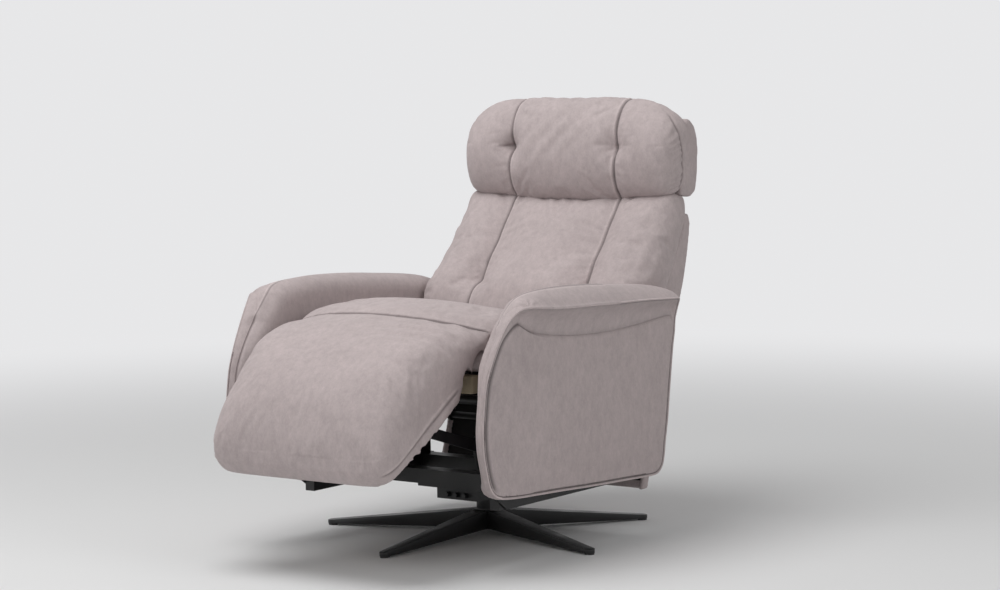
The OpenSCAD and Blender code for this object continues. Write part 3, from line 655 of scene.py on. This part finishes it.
leg_length_points = 91
knee_seam = (-0.415, 0.549)
leg_front = through([
    knee_seam, (-0.432, 0.547), (-0.462, 0.537), (-0.498, 0.517), (-0.539, 0.495), (-0.576, 0.471),
    (-0.614, 0.443), (-0.643, 0.414), (-0.666, 0.383), (-0.684, 0.350), (-0.697, 0.317),
    (-0.703, 0.285), (-0.700, 0.255), (-0.688, 0.229), (-0.665, 0.210), (-0.640, 0.222),
], leg_length_points)
leg_side = through([
    (-0.344, 0.5140), (-0.352, 0.492), (-0.364, 0.466), (-0.388, 0.441), (-0.422, 0.423),
    leg_at(0.008, 0.010), leg_at(0.045, 0.012), leg_at(0.080, 0.012), leg_at(0.115, 0.012),
    leg_at(0.147, 0.012), leg_at(0.178, 0.013), leg_at(0.205, 0.015), leg_at(0.226, 0.018),
    leg_at(0.240, 0.024), leg_at(0.247, 0.031), leg_at(0.250, 0.036),
], leg_length_points)
leg_rear = through([
    (-0.409, 0.543), (-0.421, 0.529), (-0.440, 0.506), (-0.450, 0.472), (-0.452, 0.437),
    leg_at(0.012, 0.030), leg_at(0.050, 0.036), leg_at(0.085, 0.036), leg_at(0.120, 0.036),
    leg_at(0.150, 0.036), leg_at(0.180, 0.036), leg_at(0.205, 0.036), leg_at(0.225, 0.036),
    leg_at(0.240, 0.037), leg_at(0.248, 0.038), leg_at(0.252, 0.038),
], leg_length_points)
leg_rows = through([
    # half width in front and behind, how box-like the crown is, how far the rear follows it
    (0.273, 0.273, 0.0, 0.97), (0.275, 0.275, 0.30, 0.90), (0.276, 0.276, 0.65, 0.74),
    (0.273, 0.273, 0.9, 0.54), (0.268, 0.269, 1.0, 0.24), (0.262, 0.268, 1.0, 0.0),
    (0.257, 0.268, 1.0, 0.0), (0.253, 0.267, 1.0, 0.0), (0.252, 0.266, 1.0, 0.0),
    (0.253, 0.265, 1.0, 0.0), (0.254, 0.263, 1.0, 0.0), (0.255, 0.260, 1.0, 0.0),
    (0.254, 0.256, 1.0, 0.0), (0.251, 0.251, 1.0, 0.0), (0.246, 0.246, 1.0, 0.0),
    (0.238, 0.238, 1.0, 0.0),
], leg_length_points)
half, rear_half, boxy, follows = leg_rows.T
leg_rings = []
for turn in np.linspace(-math.pi / 2, math.pi / 2, 61):
    share = math.copysign(abs(math.sin(turn)) ** 0.235, turn)
    knee_fall = abs(share) ** 2.2
    pad_fall = (1 - math.cos(turn)) ** 1.2
    fall = (1 - boxy) * knee_fall + boxy * pad_fall
    drop = (leg_side - leg_front) * fall[:, None]
    front = np.column_stack([half * share, leg_front + drop])
    rear = np.column_stack([rear_half * share, leg_rear + drop * follows[:, None]])
    leg_rings.append(np.concatenate([front, rear[::-1]]))


def board_place(points):
    """How far each point lies along the board from the knee, and how far behind its pivot."""
    relative = points[:, 1:] - leg_pivot
    return relative @ leg_along, relative @ leg_down


def legrest_shape(points, normals):
    """Presses the rear flat on the board, with the cloth's hem standing behind it all round."""
    along, down = board_place(points)
    behind = (normals[:, 1:] @ leg_down > 0.6) & (down > 0.026) & (along > 0.02)
    hem = (np.abs(points[:, 0]) > 0.206) | (along < 0.058) | (along > 0.206)
    pressed_to = np.where(hem, 0.0388, 0.030)
    moved = points.copy()
    moved[:, 1:] += (behind * (pressed_to - down))[:, None] * leg_down
    return moved


def legrest_held(points, normals):
    along, down = board_place(points)
    half = np.interp(along, (0.0, 0.06, 0.15, 0.22, 0.252), (0.263, 0.254, 0.253, 0.254, 0.238))
    edge = np.abs(points[:, 0]) > half - 0.004
    return (down > 0.0) | edge | (points[:, 1] > -0.428)


legrest = stuffed(
    "legrest_cover", leg_rings, voxel=0.005, rounding=4, shape=legrest_shape, held=legrest_held,
    reach=0.010, spare=0.01
)
points, normals = points_of(legrest)
along, down = board_place(points)
beside = between(np.abs(normals[:, 0]), 0.35, 0.8) * between(along, 0.0, 0.03)
piping = bump_at(down - 0.011, 0.0022) * beside
tucked = bump_at(down - 0.0165, 0.002) * beside
across = points[:, 0]
from_knee = np.hypot(points[:, 1] - knee_seam[0], points[:, 2] - knee_seam[1])
knee_folds = waves(from_knee + 0.06 * (across - 0.2), 0.036, 0.8)
knee_folds *= bump_at(across - 0.165, 0.085) * within(from_knee, 0.012, 0.03, 0.07, 0.13)
knee_folds *= between(normals[:, 2], 0.1, 0.5)
sag = np.sin(across * 21 + 0.6) * np.sin(along * 26 + 1.1)
sag *= between(along, 0.0, 0.06) * (down < -0.02)
lift = 0.0018 * piping - 0.0022 * tucked + 0.0030 * knee_folds + 0.0012 * sag
hung = bump_at(band_seam(points)[1], 0.004)
move_points(legrest, points + normals * lift[:, None])
finish(legrest, cloth)
# Painted shade along the tuck line and the knee seam, and a painted highlight on the piping.
mark_creases(legrest, 0.8 * tucked - 0.35 * piping + 0.7 * hung)
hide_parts("legrest_pad")
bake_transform(legrest)

# Backrest pad: three upright panels, the two seams between them pulled in at a tuft, and the
# side panels wrapped round to the shell.
back_outline = [
    (120, 452), (126, 475), (139, 525), (151, 559), (172, 586), (199, 611), (225, 639), (250, 665),
    (284, 704), (305, 725), (325, 743), (346, 758), (368, 767), (386, 766), (397, 754), (399, 735),
    (396, 712), (385, 688), (366, 652), (340, 602), (308, 540), (282, 486), (264, 456), (225, 447),
    (180, 438), (148, 440),
]
back_half = 0.300
seam_x = 0.153
tuft_z = 0.592
valley_z = (0.45, 0.52, 0.56, 0.62, 0.67, 0.71, 0.765)
valley_depth = (0.003, 0.006, 0.013, 0.020, 0.020, 0.014, 0.006)


def back_shape(points, normals):
    """Draws the seams and tufts in, wraps the side panels round, and raises them at the top."""
    x, z = np.abs(points[:, 0]), points[:, 2]
    facing = between(-normals[:, 1] + 0.6 * normals[:, 2], 0.1, 0.6)
    depth = np.interp(z, valley_z, valley_depth) * pulled_in(x - seam_x, 0.085)
    depth += 0.021 * pulled_in(np.hypot(x - seam_x, z - tuft_z), 0.055)
    moved = points - normals * (depth * facing)[:, None]
    wrapped = between(normals[:, 1], 0.0, 0.7) * between(x, 0.19, 0.26)
    moved[:, 1] += 0.023 * wrapped
    raised = 0.012 * between(x, 0.06, 0.17) * between(z, 0.72, 0.76)
    moved[:, 2] += raised * between(moved[:, 1], 0.30, 0.35)
    return moved


def back_held(points, normals):
    facing = (-normals[:, 1] + 0.6 * normals[:, 2]) > 0.2
    on_seam = np.abs(np.abs(points[:, 0]) - seam_x) < 0.004
    rear = (normals[:, 1] * 0.88 - normals[:, 2] * 0.47) > 0.6
    return rear | (on_seam & facing)


def panel_seams(points, tuft_height, facing):
    """The two upright seams between three panels: their fold lines, the edge beside them on the middle
    panel's side, and the little gathers round each tuft. The fold lines are given painted shade and the
    edge a painted highlight."""
    past_seam = np.abs(points[:, 0]) - seam_x
    fold = bump_at(past_seam, 0.0026) * facing
    edge = bump_at(past_seam + 0.0062, 0.0030) * facing
    height = points[:, 2] - tuft_height
    from_tuft = np.hypot(past_seam, height)
    gathers = np.cos(np.arctan2(height, past_seam) * 9 + 0.7)
    gathers *= within(from_tuft, 0.006, 0.02, 0.03, 0.07) * facing
    return fold, edge, gathers


back = stuffed(
    "back_cover", cushion_rings(softened(back_outline), back_half, edge=0.024), voxel=0.0055,
    rounding=5, shape=back_shape, held=back_held, reach=0.012, spare=0.02
)
points, normals = points_of(back)
facing = between(-normals[:, 1] + 0.6 * normals[:, 2], 0.1, 0.5)
fold, edge, gathers = panel_seams(points, tuft_z, facing)
x, z = points[:, 0], points[:, 2]
top_folds = waves(x - 0.9 * (0.76 - z) + 0.01, 0.038)
top_folds *= bump_at(x + 0.01 - 0.5 * (0.76 - z), 0.055)
top_folds *= between(z, 0.68, 0.75) * facing
lap_crease = waves(x * 0.8 - z, 0.09, 1.0)
lap_crease *= bump_at(x - 0.09, 0.045) * bump_at(z - 0.60, 0.045) * facing
lift = -0.0036 * fold + 0.0008 * edge + 0.0004 * gathers
lift += 0.0022 * top_folds + 0.0016 * lap_crease
move_points(back, points + normals * lift[:, None])
# Painted shade in the seam folds, and a painted highlight on the edge beside them.
mark_creases(back, fold - 0.28 * edge)
finish(back, cloth)
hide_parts("back_pad")
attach(back, "back")

# Headrest pad: a bolster in three panels like the backrest, with a tuft in each seam, closed at
# each end by a narrow side strip whose seam gathers the front.
head_outline = [
    (368, 746), (350, 751), (334, 764), (322, 786), (314, 816), (310, 850), (312, 880), (317, 908),
    (325, 935), (337, 960), (351, 982), (369, 1000), (390, 1010), (406, 1008), (417, 995), (420, 973),
    (418, 950), (411, 915), (405, 880), (399, 835), (395, 795), (393, 764), (382, 749),
]
head_half = 0.304
head_tuft_z = 0.890
head_middle = 0.885
head_rear = 0.415
strip_z = (0.76, 0.797, 0.833, 0.868, 0.904, 0.94, 1.0)
strip_y = (0.388, 0.385, 0.387, 0.385, 0.379, 0.370, 0.375)


def head_shape(points, normals):
    """Lets the top fall off and the front curve back to the ends, and draws seams and tufts in."""
    moved = points.copy()
    x = np.abs(points[:, 0])
    reach = np.clip(x / 0.313, 0, 1)
    top = (1 - reach ** 3.7) ** 0.4
    bottom = (1 - reach ** 16) ** 0.4 * (1 - 0.13 * between(x, 0.04, 0.22))
    rise = np.where(points[:, 2] > head_middle, top, bottom)
    moved[:, 2] = head_middle + (points[:, 2] - head_middle) * rise
    forward = (1 - np.clip(x / 0.307, 0, 1) ** 15) ** 0.45
    ahead = points[:, 1] < head_rear
    moved[ahead, 1] = head_rear + (points[ahead, 1] - head_rear) * np.maximum(forward[ahead], 0.25)
    facing = between(-normals[:, 1] + 0.5 * normals[:, 2], -0.1, 0.4)
    past_seam = x - seam_x
    height = moved[:, 2] - head_tuft_z
    depth = (0.006 + 0.010 * bump_at(height, 0.07)) * pulled_in(past_seam, 0.07)
    tight = np.where(points[:, 0] < 0, 0.028, 0.016)
    depth += tight * pulled_in(np.hypot(past_seam, height), 0.045)
    return moved - normals * (depth * facing)[:, None]


def head_held(points, normals):
    facing = (-normals[:, 1] + 0.5 * normals[:, 2]) > -0.1
    on_seam = np.abs(np.abs(points[:, 0]) - seam_x) < 0.004
    return (normals[:, 1] > 0.75) | (on_seam & facing)


head = stuffed(
    "headrest_cover", cushion_rings(softened(head_outline), head_half, edge=0.014), voxel=0.005,
    rounding=4, shape=head_shape, held=head_held, reach=0.012, spare=0.02
)
points, normals = points_of(head)
facing = between(-normals[:, 1] + 0.5 * normals[:, 2], 0.0, 0.4)
fold, edge, gathers = panel_seams(points, head_tuft_z, facing)
x, y, z = points.T
past_seam = np.abs(x) - seam_x
pinch = bump_at(z - head_tuft_z + 0.12 * past_seam, 0.0032) * (x < 0)
pinch *= within(past_seam, -0.004, 0.002, 0.016, 0.042) * facing
in_front = np.interp(z, strip_z, strip_y) - y
strip = bump_at(in_front, 0.0026) * between(np.abs(normals[:, 0]), 0.4, 0.8)
strip_gathers = waves(z + 0.55 * in_front, 0.017, 2.0 * np.sin(z * 71))
strip_gathers *= within(in_front, 0.0, 0.004, 0.012, 0.048) * between(np.abs(x), 0.27, 0.295)
long_folds = waves(x * 0.80 - z * 0.60, 0.044, 0.9 * np.sin(z * 24))
long_folds *= bump_at(x + 0.02 - 0.45 * (z - 0.9), 0.075) * bump_at(z - 0.925, 0.065)
lift = -0.0034 * fold + 0.0008 * edge - 0.0030 * pinch + 0.0003 * gathers
lift += -0.0030 * strip + 0.0013 * strip_gathers + 0.0016 * long_folds * facing
move_points(head, points + normals * lift[:, None])
# Painted shade in the seam folds, the pinch at the left tuft and the side strip's seam, and a painted
# highlight on the edge beside the upright seams.
mark_creases(head, fold + 0.3 * pinch + 0.75 * strip - 0.28 * edge)
finish(head, cloth)
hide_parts("headrest_pad")
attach(head, "headrest")

# Side panels with their arm pads: a board wrapped in thin foam, and a fuller pad on its top edge
# that flares outwards. One strip runs up the front edge and widens over the arm behind a gathered
# seam. The outer cover is piped on, and tucked in along a crescent under the arm.
side_rows = [
    # the strip's inner seam, its outer piping, and the tuck below it, each x, y, z in mm
    (342, -436, 168, 360, -439, 171, 360, -436, 175),
    (342, -460, 180, 360, -465, 183, 360, -461, 187),
    (342, -474, 203, 360, -480, 204, 360, -475, 206),
    (342, -484, 236, 360, -490, 237, 360, -485, 238),
    (342, -492, 273, 360, -498, 273, 360, -493, 274),
    (342, -494, 320, 360, -500, 320, 360, -495, 320),
    (342, -487, 375, 360, -494, 374, 360, -489, 373),
    (342, -479, 415, 360, -487, 413, 360, -482, 412),
    (341, -464, 450, 361, -475, 445, 361, -470, 443),
    (340, -442, 488, 363, -458, 480, 362, -452, 476),
    (339, -417, 521, 366, -437, 516, 362, -429, 508),
    (338, -393, 547, 371, -414, 547, 362, -400, 530),
    (338, -370, 570, 380, -391, 567, 361, -372, 541),
    (339, -350, 585, 389, -374, 573, 360, -352, 533),
    (340, -318, 594, 396, -345, 573, 360, -325, 521),
    (340, -262, 599, 400, -285, 567, 360, -280, 509),
    (341, -200, 600, 401, -215, 563, 360, -214, 499),
    (341, -130, 598, 401, -140, 561, 360, -140, 493),
    (341, -60, 594, 401, -66, 558, 360, -66, 490),
    (341, 10, 588, 401, 8, 556, 360, 8, 490),
    (341, 80, 582, 401, 80, 554, 360, 80, 493),
    (340, 140, 576, 400, 138, 551, 360, 136, 497),
    (340, 195, 568, 398, 188, 548, 360, 184, 501),
    (340, 236, 558, 391, 222, 546, 360, 213, 503),
    (340, 264, 548, 380, 248, 542, 360, 232, 503),
    (341, 274, 530, 369, 260, 528, 360, 243, 500),
    (342, 268, 500, 361, 259, 500, 360, 248, 488),
    (342, 259, 470, 360, 256, 466, 360, 250, 464),
    (342, 250, 430, 360, 248, 430, 360, 243, 430),
    (342, 242, 380, 360, 240, 380, 360, 235, 380),
    (342, 233, 320, 360, 231, 320, 360, 226, 320),
    (342, 223, 260, 360, 222, 260, 360, 217, 260),
    (342, 213, 215, 360, 212, 215, 360, 207, 216),
    (342, 206, 176, 360, 205, 176, 360, 200, 178),
    (342, 196, 154, 360, 195, 154, 360, 191, 158),
    (342, 172, 142, 360, 172, 141, 360, 171, 146),
    (342, 120, 141, 360, 120, 141, 360, 120, 146),
    (342, 50, 144, 360, 50, 144, 360, 50, 149),
    (342, -30, 147, 360, -30, 147, 360, -30, 152),
    (342, -120, 151, 360, -120, 151, 360, -120, 156),
    (342, -210, 156, 360, -210, 156, 360, -210, 161),
    (342, -300, 160, 360, -300, 160, 360, -300, 165),
    (342, -380, 164, 360, -380, 164, 360, -380, 169),
]
side_ring_points = 645
side_lines = through(side_rows, side_ring_points, closed=True) / 1000
seam_in, seam_out, tuck = side_lines[:, 0:3], side_lines[:, 3:6], side_lines[:, 6:9]
station = np.linspace(0, len(side_rows), len(side_lines), endpoint=False)
side_middle = np.array((-0.11, 0.345))


def unit(vectors):
    """The vectors, each made one long."""
    return vectors / np.maximum(np.linalg.norm(vectors, axis=1), 1e-9)[:, None]


def side_ring(x, inset, front_inset):
    """The seam's outline drawn in by an inset at one x, and by more along the front edge."""
    front = within(station, 0.5, 2.5, 6.0, 8.5)[:, None]
    outline = seam_in[:, 1:]
    loop = drawn_in(outline, inset) * (1 - front) + drawn_in(outline, front_inset) * front
    return np.column_stack([np.full(len(loop), x), loop])


side_way = unit(seam_out - seam_in)
band_way = unit(tuck - seam_out)
run_along = unit(np.roll(seam_out, -1, 0) - np.roll(seam_out, 1, 0))
strip_out = unit(np.cross(seam_out - seam_in, run_along))
band_out = unit(np.cross(tuck - seam_out, run_along))
outwards = np.sign(np.sum(strip_out[:, 1:] * (seam_out[:, 1:] - side_middle), axis=1))
strip_out *= outwards[:, None]
band_out *= np.where(band_out[:, 0] < 0, -1, 1)[:, None]
strip_width = np.linalg.norm(seam_out - seam_in, axis=1)
band_width = np.linalg.norm(tuck - seam_out, axis=1)
side_rings, side_marks = [], []


def add_ring(ring, mark=0.0):
    """Adds a ring to the skin, and its crease marks: painted shade, or below zero painted highlight."""
    side_rings.append(ring)
    side_marks.append(np.broadcast_to(mark, (len(ring),)))


# The inner face, from its middle out to the strip's inner seam. That seam shows up to the arm's
# front corner; behind it, arm and inner face are one smooth piece.
inner_rings = [
    side_ring(0.308, 0.034, 0.074), side_ring(0.3095, 0.024, 0.056), side_ring(0.3145, 0.013, 0.036),
    side_ring(0.3225, 0.0055, 0.019), side_ring(0.333, 0.0012, 0.006),
]
inner_centre = np.array((0.3080, *side_middle))
for share in np.linspace(0.004, 0.96, 20):
    add_ring(inner_centre + (inner_rings[0] - inner_centre) * share)
seamed = 1 - between(station, 9.7, 10.3) + between(station, 26.0, 27.0)
smooth = (1 - seamed)[:, None]
for ring, lift in zip(inner_rings, (0.0, 0.0, 0.001, 0.0025, 0.0045)):
    add_ring(ring + strip_out * lift * smooth)
add_ring(seam_in + np.array((-0.003, 0, 0)) + strip_out * (0.0058 * smooth - 0.0002))
# Painted shade along the strip's inner seam up to the arm's front corner, and a painted highlight just
# beside it.
add_ring(seam_in - strip_out * (0.0024 * seamed[:, None] - 0.0068 * smooth), 0.7 * seamed)
add_ring(seam_in + side_way * 0.0028 + strip_out * (0.0006 + 0.0070 * smooth), -0.3 * seamed)

# The strip and the arm's top, with the seam across the corner and the gathers that spread from its outer
# end. The seam is pressed in and darkened with painted shade, and the strip's outer edge gets a little
# painted shade.
corner = 13.3
station_length = 0.028
toe_ripple = waves(station, 0.36) * bump_at(station - 1.2, 1.3)
past_corner = (station - corner) * station_length
for share in np.linspace(0.16, 0.88, 13):
    crown = 4 * share * (1 - share) * (0.0018 + 0.11 * np.clip(strip_width - 0.02, 0, 1))
    crown += 0.0072 * (1 - share) ** 1.2 * (1 - seamed)
    past_seam = station - (10.0 + (corner - 10.0) * share ** 0.9)
    seam = bump_at(past_seam, 0.13)
    from_edge = (1 - share) * strip_width
    gather = np.sin(np.arctan2(from_edge, past_corner) * 9 + 1.0) * between(past_seam, 0.0, 0.15)
    gather *= within(np.hypot(past_corner, from_edge), 0.003, 0.010, 0.016, 0.040)
    lift = crown + 0.0005 * toe_ripple - 0.0026 * seam + 0.0020 * gather
    add_ring(seam_in + (seam_out - seam_in) * share + strip_out * lift[:, None], seam)
crown_edge = 0.0008 + 0.02 * np.clip(strip_width - 0.02, 0, 1)
add_ring(seam_out - side_way * 0.0030 + strip_out * crown_edge[:, None], 0.25)

# The piping on the outer edge, and the band below it, which is deep only under the arm. The piping
# carries a painted highlight, and the line under it, the band under the arm and the crescent tuck carry
# painted shade.
add_ring(seam_out - side_way * 0.0008 + strip_out * 0.0022, -0.45)
add_ring(seam_out + side_way * 0.0016 + strip_out * 0.0010, -0.45)
add_ring(seam_out + side_way * 0.0008 + band_way * 0.0022, 0.2)
deep = between(band_width, 0.010, 0.05)
plain_hem = 1 - 0.8 * between(station, 32.0, 34.0)
add_ring(seam_out - side_way * 0.0018 + band_way * 0.0038, 0.8 * plain_hem + 0.3 * deep)
for share in (0.03, 0.2, 0.4, 0.6, 0.8, 1.0):
    distance = 0.0055 + (band_width - 0.0055 - 0.0025 * deep) * share
    hollow = -4 * share * (1 - share) * 0.010 * deep
    add_ring(seam_out + band_way * distance[:, None] + band_out * hollow[:, None], 0.13 * deep)
pressed = np.column_stack([0.0046 * deep, np.zeros(len(deep)), np.zeros(len(deep))])
crescent = 1.15 * deep * between(station, 10.8, 12.2)
add_ring(tuck + band_way * (0.0003 * (1 - deep))[:, None] - pressed, crescent)

# The outer face, from the tuck in to its middle, slightly crowned and not quite even.
face_edge = drawn_in(tuck[:, 1:], 0.004)
face_x = 0.3606
face_start = np.column_stack([np.full(len(tuck), face_x), face_edge])
add_ring(face_start)
outer_centre = np.array((face_x, *side_middle))
for share in np.linspace(0.97, 0.004, 36):
    ring = outer_centre + (face_start - outer_centre) * share
    ring[:, 0] = face_x + 0.0045 * (1 - share ** 3)
    ring[:, 0] += 0.0007 * np.sin(ring[:, 1] * 23 + 1) * np.sin(ring[:, 2] * 31) * (1 - share ** 2)
    add_ring(ring)
panel_left = skinned("side_cover_left", side_rings)
mark_creases(panel_left, np.concatenate(side_marks)[:len(panel_left.data.vertices)])
panel_left.data.shade_smooth()
finish(panel_left, cloth)
mirror = panel_left.data.copy()
panel_right = bpy.data.objects.new("side_cover_right", mirror)
bpy.context.scene.collection.objects.link(panel_right)
mirror.transform(Matrix.Scale(-1, 4, (1, 0, 0)))
mirror.flip_normals()
for side, panel in (("left", panel_left), ("right", panel_right)):
    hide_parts(f"side_panel_{side}", f"arm_pad_{side}")
    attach(panel, "chassis")

# Rear shells of the backrest and the headrest: moulded plywood with thin foam, covered in the same cloth
# with a sewn line near the rear edge, drawn only as a line of painted shade. Inside, the backrest
# shell's faces turned forwards are near-black: painted shade for the shadowed inside of its lower flap.
# Near-black cloth: painted shade for the shadowed inside of the backrest shell.
painted_shade_lining = upholstery("painted_shade_lining", (0.014, 0.013, 0.013))
for name, node, body in (("back_shell_cover", "back_shell", "back"),
                         ("headrest_shell_cover", "headrest_shell", "headrest")):
    shell = copy_of(name, node)
    applied(shell, "REMESH", mode="VOXEL", voxel_size=0.0035)
    applied(shell, "SMOOTH", factor=0.5, iterations=9)
    shell.data.shade_smooth()
    finish(shell, cloth, painted_shade_lining)
    points, normals = points_of(shell)
    tree = BVHTree.FromObject(nodes[node], bpy.context.evaluated_depsgraph_get())
    points += normals * 0.0012
    move_points(shell, points)
    rear_y = []
    for point in points.tolist():
        start = Vector(point) + Vector((0, 0.2, 0))
        met = tree.ray_cast(start, Vector((0, -1, 0)))[0] or Vector(point)
        rear_y.append(met.y)
    end_wall = between(np.abs(normals[:, 0]), 0.6, 0.9)
    hem = bump_at(np.array(rear_y) - points[:, 1] - 0.011, 0.0018) * end_wall
    # The sewn line on the end walls is only a thin line of painted shade, with no groove in the mesh.
    mark_creases(shell, 0.5 * hem)
    low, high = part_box(node)
    # The backrest shell's inner faces turned forwards get the near-black painted shade.
    for face in shell.data.polygons:
        inside = abs(face.center.x) < high.x - 0.012 and face.center.z > low.z + 0.018
        if body == "back" and inside and face.normal.y < -0.3:
            face.material_index = 1
    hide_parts(node)
    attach(shell, body)
